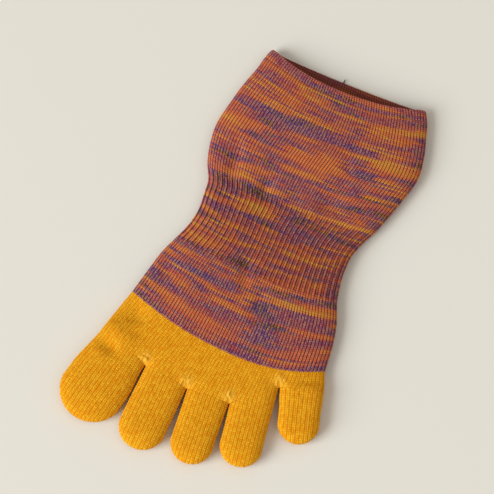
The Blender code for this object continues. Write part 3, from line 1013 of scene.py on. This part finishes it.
@dataclass
class ForefootPiece(TubePiece):
    """The mustard forefoot, whose courses run down to the toe roots."""

    inner_step: float = 0.0020
    pucker_reach: float = 0.0028
    pucker_lift: float = 0.0008
    pucker_offset: tuple[float, float] = (-0.0012, 0.0028)
    pucker_grain: float = 0.0011
    calm_reach: float = 0.0014

    def pucker(self, x: np.ndarray, y: np.ndarray) -> np.ndarray:
        """Find the gathered stitches above the crotches between two toes.

        Args:
            x: x of the plan positions, before the sock is moved to its place in the frame.
            y: Their y.

        Returns:
            How far each position is gathered, from 0 up.
        """
        gathered = np.zeros_like(x)
        for root_x, root_y in self.form.roots[1:-1] + np.array(self.pucker_offset):
            far = np.hypot(x - root_x, y - root_y) / self.pucker_reach
            gathered += np.exp(-far * far)
        return gathered

    def pinch(self, plan: Arrays, toe: np.ndarray, within: np.ndarray, layers: Arrays) -> Arrays:
        """Draw the two layers together towards each crotch.

        Args:
            plan: x and y of the points, before the sock is moved to its place in the frame.
            toe: The number of the toe that each leads to.
            within: Its place across that toe.
            layers: Heights of the lower and the upper layer.

        Returns:
            The new heights of the lower and the upper layer, and the distance to the next crotch.
        """
        form, halves = self.form, self.form.root_halves
        low, high = layers
        middle = ease(2 * (1 - np.abs(within)))
        nearest = np.full_like(low, np.inf)
        for index in range(1, len(ROOTS) - 1):
            gap = np.hypot(plan[0] - form.roots[index][0], plan[1] - form.roots[index][1])
            shared = (halves[index - 1] + halves[index]) / 2
            beside = (toe == index - 1) | (toe == index)
            reach = np.where(beside, shared + (halves[toe] - shared) * middle, shared)
            high = form.fold_height + (high - form.fold_height) * form.crown(1 - gap / reach)
            low = np.maximum(low, form.curl(gap))
            nearest = np.minimum(nearest, gap)
        return low, high, nearest

    def body(self, distance: np.ndarray, ring: Ring, depth: np.ndarray) -> Arrays:
        """Give points in the wall of the forefoot, in the frame.

        Args:
            distance: Distance down from the mustard yarn's first course.
            ring: The columns.
            depth: Depth in the wall.

        Returns:
            The points, as rows by columns by 3, with how far each is puckered, and how far it is
            clear of the crotches.
        """
        form = self.form
        across, within, upper, _ = ring.spread(distance.shape)
        share = np.clip(distance / self.lengths(ring)[None, :], 0.0, 1.0)
        toe, even = form.toe_of(across)
        pull = ease((share - form.pinch_start) / (1 - form.pinch_start)) ** form.pinch_power
        blended = even + (within - even) * pull
        x, y, half = form.forefoot_plan(share, across, blended)
        loft = form.lofts[-1] + (form.toe_loft - form.lofts[-1]) * share
        # On the way to the roots the tube's layers turn into those of the toe pockets.
        body_low, body_high = form.heights(across, half, loft)
        outer_half = ((toe == 0) & (blended < 0)) | ((toe == len(TOES) - 1) & (blended > 0))
        toe_across = np.where(outer_half, blended, 0.0)
        toe_low, toe_high = form.heights(toe_across, form.root_halves[toe], loft)
        low = body_low + (toe_low - body_low) * pull
        high = body_high + (toe_high - body_high) * pull
        low, high, nearest = self.pinch((x, y), toe, blended, (low, high))
        # The layers keep room for two walls at the crotches, where the stitches pucker.
        crown = form.swell(body_high, loft)
        crease = form.dent(x, y, CREASES) * form.swell(high, loft)
        air = np.maximum(0.0, 2 * form.wall + form.crotch_air - (high - low)) * crown
        gathered = self.pucker(x, y) * crown
        lumps = 1 + lattice_noise(x / self.pucker_grain, y / self.pucker_grain, SEED + 1)
        high = high + form.pinch_lift * air + self.pucker_lift * gathered * lumps
        high = high - form.dent(x, y, DENTS) * crown * (1 - pull) - crease
        low = np.maximum(0.0, low - (1 - form.pinch_lift) * air)
        # The inner face keeps a little air above and below the height of the folds.
        z = np.where(upper, high, low)
        least = form.inner_air * (1 - np.abs(across) ** form.inner_power)
        inner_high = np.maximum(z - form.wall, form.fold_height + least)
        inner_low = np.minimum(z + form.wall, form.fold_height - least)
        z = z + (np.where(upper, inner_high, inner_low) - z) * depth
        line, _, _ = form.forefoot_plan(share, np.zeros_like(across))
        x = line + (x - line) * (1 - depth * form.wall / half)
        clear = 1 - np.exp(-(nearest / self.calm_reach) ** 2)
        return form.in_frame(x, y, z), gathered, clear

    def lengths(self, ring: Ring) -> np.ndarray:
        """Measure the columns.

        Args:
            ring: The columns.

        Returns:
            Each column's length from the first mustard course to the toe roots.
        """
        none, full = np.zeros_like(ring.across), np.ones_like(ring.across)
        start_x, start_y, _ = self.form.forefoot_plan(none, ring.across)
        end_x, end_y, _ = self.form.forefoot_plan(full, ring.across, ring.within)
        return np.hypot(end_x - start_x, end_y - start_y)

    def grid(self) -> KnitGrid:
        """Lay the forefoot's rows and columns. Each column stops where it meets the toe roots.

        Returns:
            The grid of points, with its stitches' depths.
        """
        stitch = self.knitter.stitch
        ring = self.knitter.ring(range(len(TOES)), stitch.under_columns)
        lengths = self.lengths(ring)
        pitch = self.zone.length / self.zone.courses
        count = int(math.ceil(lengths.max() / pitch)) + 1
        outer = np.arange(count * stitch.rows + 1) / stitch.rows
        lead = stitch.shift(ring.wale)[None, :]
        distance = np.minimum(outer[:, None] * pitch + lead, lengths[None, :])
        inner_rows = math.ceil(self.zone.length / self.inner_step)
        inner = np.linspace(1.0, 0.0, inner_rows + 1)[:, None] * lengths[None, :]
        inner = np.where(inner == 0.0, lead, inner)
        distance = np.concatenate([distance, inner, distance[:1]])
        depth = np.zeros_like(distance)
        depth[len(outer):-1] = 1.0
        below, gathered, clear = self.body(distance, ring, depth)
        above = self.surface(self.form.start("forefoot") + distance, ring, depth)
        points = np.where((distance < 0.0)[..., None], above, below)
        first = sum(zone.courses for zone in ZONES[:-1])
        numbers = first + (distance - lead) / pitch
        *_, wale = ring.spread(distance.shape)
        relief = stitch.relief(wale, numbers, depth) * clear
        # Painted shade on the inner face, and a painted highlight on the outer face where the stitches
        # gather above the crotches.
        marks = {"shade": depth, "pucker_highlight": np.clip(gathered, 0.0, 1.0) * (1 - depth)}
        ends = {len(outer) - 1, len(distance) - 2}
        return KnitGrid(self.zone.name, points, relief, numbers, ring.wale, marks, ends)


@dataclass
class ToePiece:
    """One toe pocket, with its wales along the toe and its courses across it."""

    form: SockForm
    knitter: Knitter
    index: int
    course: float = 0.00116
    inner_steps: int = 20
    inner_crowding: float = 0.6
    tip_band: float = 0.0010
    tip_steps: tuple[float, ...] = (0.55, 0.2, 0.0)
    least_width: float = 1e-6
    fine: int = 240

    def __post_init__(self) -> None:
        """Work out the toe's own line and sizes."""
        self.toe = TOES[self.index]
        turn = math.radians(self.toe.turn)
        self.line = np.array([math.sin(turn), -math.cos(turn)])
        self.normal = np.array([math.cos(turn), math.sin(turn)])
        self.length = self.toe.length * self.form.toe_length
        self.half = self.toe.width * self.form.toe_width / 2
        left, right = self.form.roots[self.index:self.index + 2]
        self.middle = (left + right) / 2
        self.root_half = (right - left) / 2

    def round_off(self, share: np.ndarray) -> np.ndarray:
        """Give how wide the round tip still is.

        Args:
            share: Share of the toe's length.

        Returns:
            The share of the toe's width, from 1 down to 0 at the end.
        """
        start = self.toe.tip_start
        close = np.clip((share - start) / (1 - start), 0.0, 1.0)
        return np.sqrt(np.maximum(0.0, 1 - close * close))

    def half_vector(self, share: np.ndarray) -> np.ndarray:
        """Give the vector from the toe's line to its side, before the tip is rounded."""
        blend = ease(share / self.form.toe_spread)[..., None]
        return self.root_half * (1 - blend) + self.normal * self.half * blend

    def along(self, share: np.ndarray, within: np.ndarray) -> np.ndarray:
        """Give the distance along the toe's line of a point at a share of its length."""
        return share * self.length + within * (self.half_vector(share) @ self.line)

    def surface(self, share: np.ndarray, within: np.ndarray, upper: np.ndarray,
                depth: np.ndarray) -> np.ndarray:
        """Give points in the pocket's wall, in the frame.

        Args:
            share: Share of the toe's length.
            within: Place across the toe, in half widths of its straight part.
            upper: Whether the point is on the upper layer.
            depth: Depth in the wall, from 0 to 1.

        Returns:
            The points, as rows by columns by 3.
        """
        form = self.form
        half_vector = self.half_vector(share)
        half = np.linalg.norm(half_vector, axis=-1)
        width = self.round_off(share)
        local = np.clip(within / np.maximum(width, self.least_width), -1.0, 1.0)
        low, high = form.heights(local, half, np.full_like(half, form.toe_loft))
        centre = self.middle + self.line * (share * self.length)[..., None]
        outside = centre + half_vector * within[..., None]
        crease = form.dent(outside[..., 0], outside[..., 1], CREASES)
        z = np.where(upper, high - crease * form.swell(high, form.toe_loft), low)
        z = form.fold_height + (z - form.fold_height) * width ** form.tip_power
        z = form.inner_height(z, form.toe_loft, depth)
        drawn = depth * form.wall
        centre = centre - self.line * (share * drawn)[..., None]
        place = centre + half_vector * (within * (1 - drawn / half))[..., None]
        return form.in_frame(place[..., 0], place[..., 1], z)

    def grid(self) -> KnitGrid:
        """Lay the pocket's rows and columns, which run to the round edge of its tip and meet there.

        Returns:
            The grid of points, with its stitches' depths.
        """
        stitch = self.knitter.stitch
        ring = self.knitter.ring(range(self.index, self.index + 1), stitch.columns)
        within, start = ring.within, self.toe.tip_start
        last_share = start + (1 - start) * np.sqrt(np.maximum(0.0, 1 - within * within))
        shares = last_share * np.linspace(0.0, 1.0, self.fine)[:, None]
        reach = self.along(shares, within[None, :])
        first, last = reach[0], reach[-1]
        lowest = math.floor(first.min() / self.course)
        highest = math.ceil(last.max() / self.course)
        outer = np.arange(lowest * stitch.rows, highest * stitch.rows + 1) / stitch.rows
        lead = stitch.shift(ring.wale)[None, :]
        # The last rows run close together round the tip, where the columns of both layers meet.
        cap = np.maximum(last - self.tip_band, first)
        distance = np.clip(outer[:, None] * self.course + lead, first[None, :], cap[None, :])
        tip = last[None, :] - self.tip_band * np.array(self.tip_steps)[:, None]
        tip = np.maximum(tip, first[None, :])
        inner = np.linspace(1.0, 0.0, self.inner_steps + 1)[:, None] ** self.inner_crowding
        inner = first + (last - first) * inner
        rows_outside = len(outer) + len(tip)
        distance = np.concatenate([distance, tip, inner, distance[:1]])
        depth = np.zeros_like(distance)
        depth[rows_outside:-1] = 1.0
        share = np.empty_like(distance)
        for column in range(len(within)):
            share[:, column] = np.interp(distance[:, column], reach[:, column], shares[:, column])
        _, spread, upper, wale = ring.spread(distance.shape)
        points = self.surface(share, spread, upper, depth)
        numbers = (distance - lead) / self.course
        relief = stitch.relief(wale, numbers, depth)
        # Painted shade on the inner face.
        marks = {"shade": depth, "pucker_highlight": np.zeros_like(depth)}
        return KnitGrid(
            self.toe.name, points, relief, numbers, ring.wale, marks,
            ends={len(distance) - 2}, open_bands={rows_outside - 1},
        )


@dataclass
class YarnEnd:
    """The short end of dark yarn that stands off the back of the mouth's rim."""

    form: SockForm
    across: float = -0.06
    place: float = 0.0010
    turn: float = 70.0
    curl: float = 14.0
    length: float = 0.0030
    height: float = 0.0006
    rise: float = 0.0008
    radius: float = 0.00032
    blunt: float = 0.02
    steps: int = 6
    sides: int = 8

    def build(self) -> bpy.types.Object:
        """Make the strand from circles along its curl, capped at both ends.

        Returns:
            The closed, tapering strand.
        """
        plan = self.form.plan(*(np.array([value]) for value in (self.place, self.across, False)))
        start = Vector(self.form.in_frame(plan[0], plan[1], np.array([self.height]))[0])
        made = bmesh.new()
        loops = []
        for step in range(self.steps + 1):
            share = step / self.steps
            angle = math.radians(self.turn + self.curl * share)
            reach = self.length * share
            run = Vector((math.cos(angle) * reach, math.sin(angle) * reach, self.rise * share))
            turned = Matrix.Rotation(angle, 4, "Z") @ Matrix.Rotation(math.pi / 2, 4, "Y")
            ring = bmesh.ops.create_circle(
                made, segments=self.sides, radius=self.radius * math.sqrt(1 + self.blunt - share ** 4),
                cap_ends=step in (0, self.steps), matrix=Matrix.Translation(start + run) @ turned,
            )
            edges = (edge for vertex in ring["verts"] for edge in vertex.link_edges)
            loops.append(list(dict.fromkeys(edges)))
        for near, far in zip(loops, loops[1:]):
            bmesh.ops.bridge_loops(made, edges=near + far)
        bmesh.ops.recalc_face_normals(made, faces=made.faces)
        for face in made.faces:
            face.smooth = True
        return add_object("yarn_end", finish_mesh("yarn_end", made))


def add_node(tree: bpy.types.NodeTree, kind: str, inputs: dict | None = None,
             **settings: object) -> bpy.types.Node:
    """Add a node with its settings and links.

    Args:
        tree: The tree that takes the node.
        kind: The node's type.
        inputs: Values, or nodes or sockets to link, by the input's name or number.
        **settings: The node's own properties.

    Returns:
        The new node.
    """
    node = tree.nodes.new(kind)
    for name, value in settings.items():
        setattr(node, name, value)
    for name, value in (inputs or {}).items():
        value = value.outputs[0] if isinstance(value, bpy.types.Node) else value
        if isinstance(value, bpy.types.NodeSocket):
            tree.links.new(value, node.inputs[name])
        else:
            node.inputs[name].default_value = value
    return node


def new_material(name: str, values: dict[str, object]) -> tuple[bpy.types.Material, bpy.types.Node]:
    """Start a material.

    Args:
        name: The material's name.
        values: Even values of its Principled shader, by socket.

    Returns:
        The material and its shader.
    """
    material = bpy.data.materials.new(name)
    material.use_nodes = True
    shader = material.node_tree.nodes["Principled BSDF"]
    for socket, value in values.items():
        shader.inputs[socket].default_value = value
    return material, shader


@dataclass(frozen=True)
class KnitFinish:
    """Face of spun cotton: matt, with a soft sheen at grazing angles and a nap of fine fibres.

    Cotton fibres are about 0.02 mm thick, which is too fine to show, so the nap is ten times that.
    """

    roughness: float = 0.92
    specular: float = 0.18
    sheen: float = 0.12
    sheen_roughness: float = 0.6
    fibre: float = 0.00022
    fibre_bump: float = 0.00006

    def start(self, name: str, tint: str) -> tuple[bpy.types.Material, bpy.types.Node]:
        """Start a cotton material.

        Args:
            name: The material's name.
            tint: Colour of the soft sheen, as hex.

        Returns:
            The material and its shader.
        """
        return new_material(name, {
            "Roughness": self.roughness,
            "Specular IOR Level": self.specular,
            "Sheen Weight": self.sheen,
            "Sheen Roughness": self.sheen_roughness,
            "Sheen Tint": linear(tint),
        })

    def dress(self, shader: bpy.types.Node, colour: bpy.types.NodeSocket) -> None:
        """Join a colour to the shader and add the cotton's fibres.

        Args:
            shader: The material's Principled shader.
            colour: The yarn's colour.
        """
        tree = shader.id_data
        tree.links.new(colour, shader.inputs["Base Color"])
        place = add_node(tree, "ShaderNodeTexCoord")
        fibres = add_node(tree, "ShaderNodeTexNoise", {
            "Vector": place.outputs["Object"], "Scale": 1 / self.fibre, "Detail": 2.0,
        })
        bump = add_node(tree, "ShaderNodeBump", {
            "Height": fibres.outputs[0], "Distance": self.fibre_bump, "Strength": 1.0,
        })
        tree.links.new(bump.outputs[0], shader.inputs["Normal"])


@dataclass
class StitchNodes:
    """Nodes that tell a knit material which stitch it colours, and where in it each place lies.

    The groove, heart and gap say how far painted shade darkens the colour, from 0 to 1, between
    two wales, between a stitch's two legs and between two courses. Each band says where its turn
    starts and is full.
    """

    tree: bpy.types.NodeTree
    groove: float
    heart: float
    gap: float
    groove_band: tuple[float, float] = (0.24, 0.44)
    heart_band: tuple[float, float] = (0.12, 0.0)
    gap_band: tuple[float, float] = (0.22, 0.5)

    def __post_init__(self) -> None:
        """Read the knit's UV map, number the stitches' legs and find painted shade round them."""
        uv = add_node(self.tree, "ShaderNodeUVMap", uv_map=KNIT_UV)
        parts = add_node(self.tree, "ShaderNodeSeparateXYZ", {0: uv})
        self.wale, course = parts.outputs[0], parts.outputs[1]
        self.course_number = add_node(self.tree, "ShaderNodeMath", {0: course}, operation="FLOOR")
        legs = add_node(self.tree, "ShaderNodeMath", {0: self.wale, 1: 2.0}, operation="MULTIPLY")
        leg = add_node(self.tree, "ShaderNodeMath", {0: legs}, operation="FLOOR")
        pair = add_node(self.tree, "ShaderNodeCombineXYZ", {0: leg, 1: self.course_number})
        random = add_node(self.tree, "ShaderNodeTexWhiteNoise", {"Vector": pair},
                          noise_dimensions="2D")
        self.leg_random = random.outputs["Value"]
        from_heart, from_row = self.from_middle(self.wale), self.from_middle(course)
        rows = (
            (from_heart, self.groove_band, self.groove),
            (from_heart, self.heart_band, self.heart),
            (from_row, self.gap_band, self.gap),
        )
        turns = [
            add_node(self.tree, "ShaderNodeMapRange", {
                "Value": number, "From Min": first, "From Max": full, "To Max": most,
            }, interpolation_type="SMOOTHSTEP")
            for number, (first, full), most in rows
        ]
        # Painted shade: how far the colour darkens in the hollows between wales, legs and courses.
        heart_or_gap_shade = add_node(self.tree, "ShaderNodeMath", {0: turns[1], 1: turns[2]},
                          operation="MAXIMUM")
        self.hollow = add_node(self.tree, "ShaderNodeMath", {0: turns[0], 1: heart_or_gap_shade},
                               operation="MAXIMUM")

    def from_middle(self, number: bpy.types.NodeSocket) -> bpy.types.Node:
        """Give how far a number lies from the middle between two whole ones.

        Args:
            number: The number's socket.

        Returns:
            The node that gives the distance.
        """
        part = add_node(self.tree, "ShaderNodeMath", {0: number}, operation="FRACT")
        centred = add_node(self.tree, "ShaderNodeMath", {0: part, 1: 0.5}, operation="SUBTRACT")
        return add_node(self.tree, "ShaderNodeMath", {0: centred}, operation="ABSOLUTE")

    def streak(self, along: float, step: float, offset: float) -> bpy.types.Node:
        """Give soft streaks that run along the courses, from 0 to 1.

        Args:
            along: A streak's length, in wales.
            step: How far the pattern moves on from one course to the next.
            offset: Picks another part of the pattern.

        Returns:
            The node that gives the streaks.
        """
        across = add_node(self.tree, "ShaderNodeMath", {0: self.wale, 1: 1 / along},
                          operation="MULTIPLY")
        down = add_node(self.tree, "ShaderNodeMath", {0: self.course_number, 1: step, 2: offset},
                        operation="MULTIPLY_ADD")
        place = add_node(self.tree, "ShaderNodeCombineXYZ", {0: across, 1: down})
        return add_node(self.tree, "ShaderNodeTexNoise", {
            "Vector": place, "Scale": 1.0, "Detail": 1.5, "Roughness": 0.6,
        }, noise_dimensions="2D")

    def tinted(self, share: bpy.types.Node | bpy.types.NodeSocket,
               colour: bpy.types.NodeSocket | tuple, tint: str) -> bpy.types.NodeSocket:
        """Mix a tint into a colour.

        Args:
            share: The tint's share, as a node or socket.
            colour: The colour below it, as a socket or a linear colour.
            tint: The tint, as hex.

        Returns:
            The mixed colour's socket.
        """
        mixed = add_node(self.tree, "ShaderNodeMix", {
            "Factor": share, 6: colour, 7: linear(tint),
        }, data_type="RGBA")
        return mixed.outputs[2]

    def scaled(self, name: str, most: float) -> bpy.types.Node:
        """Read one of the knit's own values, and scale it.

        Args:
            name: The value's attribute.
            most: What a value of 1 becomes.

        Returns:
            The node that gives the scaled value.
        """
        mark = add_node(self.tree, "ShaderNodeAttribute", attribute_name=name)
        return add_node(self.tree, "ShaderNodeMath", {0: mark.outputs["Fac"], 1: most},
                        operation="MULTIPLY")


@dataclass(frozen=True)
class MustardKnit:
    """Plain knit of mustard cotton yarn, whose legs of stitches differ a little in tone.

    Light catches the stitches; painted shade turns the lines between them brown and darkens the
    inner face, and a painted highlight makes the gathers paler.
    """

    base: str = "ea9400"
    bright: str = "ffc82a"
    # Painted shade colour for the hollows between stitches.
    deep: str = "904403"
    # Painted shade colour for the inner face.
    inside: str = "8a4a12"
    # Painted highlight colour for the gathered stitches above the crotches.
    pucker_highlight: str = "ffd050"
    least_bright: float = 0.10
    bright_spread: float = 0.65
    inside_shade_share: float = 0.8
    pucker_highlight_share: float = 0.5
    cotton: KnitFinish = KnitFinish()

    def material(self) -> bpy.types.Material:
        """Mix each stitch's tone, paint shade on the inside and in the hollows between stitches.

        Returns:
            The material.
        """
        material, shader = self.cotton.start("mustard_cotton_knit", self.bright)
        stitches = StitchNodes(material.node_tree, groove=0.46, heart=0.42, gap=0.50)
        tone = add_node(material.node_tree, "ShaderNodeMath", {
            0: stitches.leg_random, 1: self.bright_spread, 2: self.least_bright,
        }, operation="MULTIPLY_ADD")
        yarn = stitches.tinted(tone, linear(self.base), self.bright)
        # Painted shade on the inner face.
        wall = stitches.tinted(stitches.scaled("shade", self.inside_shade_share), yarn, self.inside)
        # Painted shade in the hollows between stitches.
        knit = stitches.tinted(stitches.hollow, wall, self.deep)
        # Painted highlight on the gathered stitches above the crotches.
        colour = stitches.tinted(stitches.scaled("pucker_highlight", self.pucker_highlight_share), knit, self.pucker_highlight)
        self.cotton.dress(shader, colour)
        return material


@dataclass(frozen=True)
class MarlKnit:
    """Knit of space-dyed cotton yarn, whose colour changes along the yarn in streaks.

    The streaks run along the courses from gold and orange to purple and olive. A painted
    highlight makes each stitch's top paler than its yarn, and painted shade makes the hollows
    round it nearly black and darkens the inner face and the rib's sunk wales.
    """

    name: str = "space_dyed_cotton_knit"
    stops: tuple[tuple[float, str], ...] = (
        (0.00, "dc9c36"),
        (0.20, "dc7936"),
        (0.36, "cf5e46"),
        (0.50, "a44458"),
        (0.66, "7a3872"),
        (0.84, "4c4288"),
        (1.00, "463a2c"),
    )
    # Painted highlight colour for the top of each stitch.
    painted_highlight: str = "f8aa6c"
    # Painted shade colour for the hollows round the stitches.
    hollow: str = "2c0e14"
    # Painted shade colour for the inner face and the rib's sunk wales.
    inside: str = "7c3a2c"
    sheen: str = "d9a08a"
    drift: float = 1.8
    turns: tuple[float, float] = (1.7, 0.7)
    ramp_shift: float = 0.38
    unevenness: float = 0.40
    tone_share: float = 0.9
    painted_highlight_share: float = 0.6
    least_painted_shade: float = 0.75
    inside_shade_share: float = 0.75
    cotton: KnitFinish = KnitFinish()

    def level(self, stitches: StitchNodes) -> bpy.types.Node:
        """Find each stitch's place on the yarn's colour ramp.

        Args:
            stitches: The nodes that number the stitches.

        Returns:
            The node that gives the place, from 0 to 1.
        """
        tree = stitches.tree
        middle = 0.5 * (sum(self.turns) + self.unevenness) + self.ramp_shift
        level = add_node(tree, "ShaderNodeMath", {
            0: stitches.leg_random, 1: self.unevenness, 2: -middle,
        }, operation="MULTIPLY_ADD")
        layers = (
            (stitches.streak(along=30.0, step=0.22, offset=0.0), self.drift),
            (stitches.streak(along=20.0, step=7.13, offset=31.0), self.turns[0]),
            (stitches.streak(along=5.0, step=7.13, offset=57.0), self.turns[1]),
        )
        for streak, weight in layers:
            level = add_node(tree, "ShaderNodeMath", {0: streak, 1: weight, 2: level},
                             operation="MULTIPLY_ADD")
        tone = add_node(tree, "ShaderNodeAttribute", attribute_name="tone")
        return add_node(tree, "ShaderNodeMix", {
            "Factor": stitches.scaled("tone_share", self.tone_share),
            2: level, 3: tone.outputs["Fac"],
        }, data_type="FLOAT")

    def material(self) -> bpy.types.Material:
        """Colour each stitch from the ramp, paint a highlight on its top and shade in its hollows.

        Returns:
            The material.
        """
        material, shader = self.cotton.start(self.name, self.sheen)
        tree = material.node_tree
        stitches = StitchNodes(tree, groove=0.84, heart=0.40, gap=0.62)
        ramp = add_node(tree, "ShaderNodeValToRGB", {0: self.level(stitches)})
        elements = ramp.color_ramp.elements
        for number, (place, colour) in enumerate(self.stops):
            element = elements[number] if number < 2 else elements.new(place)
            element.position = place
            element.color = linear(colour)
        # Painted highlight on the top of each stitch, away from the hollows and random in strength per
        # leg.
        highlight_reach = add_node(tree, "ShaderNodeMath", {
            0: stitches.hollow, 1: -self.painted_highlight_share, 2: self.painted_highlight_share,
        }, operation="MULTIPLY_ADD")
        painted_highlight = add_node(tree, "ShaderNodeMath", {0: highlight_reach, 1: stitches.leg_random},
                         operation="MULTIPLY")
        # Painted shade in the hollows round each stitch, random in strength per leg.
        uneven = add_node(tree, "ShaderNodeMath", {
            0: stitches.leg_random, 1: 1 - self.least_painted_shade, 2: self.least_painted_shade,
        }, operation="MULTIPLY_ADD")
        hollow = add_node(tree, "ShaderNodeMath", {0: stitches.hollow, 1: uneven},
                          operation="MULTIPLY")
        light = stitches.tinted(painted_highlight, ramp.outputs[0], self.painted_highlight)
        # Painted shade on the inner face and the rib's sunk wales.
        wall = stitches.tinted(stitches.scaled("shade", self.inside_shade_share), light, self.inside)
        self.cotton.dress(shader, stitches.tinted(hollow, wall, self.hollow))
        return material


def stray_yarn() -> bpy.types.Material:
    """Make the dark slate yarn of the stray end, matt like the knit."""
    return new_material("slate_cotton_yarn", {"Base Color": linear("4a4d5c"), "Roughness": 0.95})[0]


class Lamp(NamedTuple):
    """A square soft light: how far right, up and above it stands, its side, watts and colour."""

    name: str
    right: float
    away: float
    height: float
    size: float
    power: float
    colour: str


@dataclass
class Studio:
    """Pale tabletop, soft light from the left, and the camera at the photograph's angle."""

    turn: float = 23.0
    elevation: float = 76.0
    target: tuple[float, float, float] = (-0.00525, 0.0073, 0.003)
    frame_width: float = 0.2386
    lens: float = 180.0
    sensor: float = 36.0
    floor_size: float = 4.0
    paper: str = "e1e1df"
    sky: str = "f6e9d4"
    sky_strength: float = 0.50
    lamps: tuple[Lamp, ...] = (
        Lamp("key", -3.6, -1.6, 2.4, 3.0, 227.0, "fdfffa"),
        Lamp("fill", 0.8, -0.2, 1.3, 1.2, 2.5, "f3f5ff"),
    )

    def picture_axes(self) -> tuple[Vector, Vector]:
        """Give the directions on the floor that run right and up in the picture."""
        turned = Matrix.Rotation(math.radians(self.turn), 3, "Z")
        return turned @ Vector((1.0, 0.0, 0.0)), turned @ Vector((0.0, 1.0, 0.0))

    def camera(self) -> None:
        """Look down at the sock at the photograph's angle."""
        right, away = self.picture_axes()
        rise = math.radians(self.elevation)
        back = Vector((0.0, 0.0, math.sin(rise))) - away * math.cos(rise)
        up = away * math.sin(rise) + Vector((0.0, 0.0, math.cos(rise)))
        data = bpy.data.cameras.new("camera")
        data.lens = self.lens
        data.sensor_width = self.sensor
        camera = add_object("camera", data)
        place = Vector(self.target) + back * (self.frame_width * self.lens / self.sensor)
        turned = Matrix((right, up, back)).transposed().to_4x4()
        camera.matrix_world = Matrix.Translation(place) @ turned
        bpy.context.scene.camera = camera

    def floor(self) -> None:
        """Lay the tabletop of smooth white paper, which is matt with hardly a gleam."""
        made = bmesh.new()
        bmesh.ops.create_grid(made, x_segments=1, y_segments=1, size=self.floor_size / 2)
        top = add_object("tabletop", finish_mesh("tabletop", made))
        values = {"Base Color": linear(self.paper), "Roughness": 0.85, "Specular IOR Level": 0.2}
        top.data.materials.append(new_material("pale_paper", values)[0])

    def light(self, lamp: Lamp) -> None:
        """Hang a soft light that faces the sock.

        Args:
            lamp: Its place, size and light.
        """
        right, away = self.picture_axes()
        data = bpy.data.lights.new(lamp.name, "AREA")
        data.energy = lamp.power
        data.size = lamp.size
        data.color = linear(lamp.colour)[:3]
        place = right * lamp.right + away * lamp.away + Vector((0.0, 0.0, lamp.height))
        turned = place.to_track_quat("Z", "Y").to_matrix().to_4x4()
        add_object(lamp.name, data).matrix_world = Matrix.Translation(place) @ turned

    def world(self) -> None:
        """Fill the shadows with a pale sky."""
        world = bpy.data.worlds.new("soft_fill")
        world.use_nodes = True
        background = world.node_tree.nodes["Background"]
        background.inputs["Color"].default_value = linear(self.sky)
        background.inputs["Strength"].default_value = self.sky_strength
        bpy.context.scene.world = world

    def build(self) -> None:
        """Set up everything that isn't part of the object."""
        bpy.context.scene.view_settings.view_transform = "Standard"
        self.floor()
        for lamp in self.lamps:
            self.light(lamp)
        self.world()
        self.camera()


def place_piece(piece: bpy.types.Object, node: str | None,
                material: bpy.types.Material) -> None:
    """Finish a knitted piece.

    Args:
        piece: The piece's object.
        node: The CAD node that it replaces, if any.
        material: Its material.
    """
    piece.data.materials.append(material)
    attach(piece, BODY)
    if node is not None:
        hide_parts(node)
    LOG.info("%s: %d faces", piece.name, len(piece.data.polygons))


def main() -> None:
    """Build the studio and the sock, piece by piece."""
    logging.basicConfig(level=logging.INFO, format="%(message)s")
    Studio().build()
    form = SockForm()
    marl_knitter = Knitter(form, Stitch())
    mustard_knitter = Knitter(form, Stitch(groove=0.00036, heart=0.00022))
    materials = {
        Yarn.MARL: MarlKnit().material(),
        Yarn.MARL_RIB: MarlKnit(name="space_dyed_cotton_rib").material(),
        Yarn.MUSTARD: MustardKnit().material(),
    }
    for zone in ZONES:
        if zone.yarn is Yarn.MUSTARD:
            grid = ForefootPiece(form, mustard_knitter, zone).grid()
        else:
            grid = TubePiece(form, marl_knitter, zone).grid()
        place_piece(grid.build(), zone.name, materials[zone.yarn])
    for index, toe in enumerate(TOES):
        grid = ToePiece(form, mustard_knitter, index).grid()
        place_piece(grid.build(), toe.name, materials[Yarn.MUSTARD])
    place_piece(YarnEnd(form).build(), None, stray_yarn())


if __name__ == "__main__":
    main()
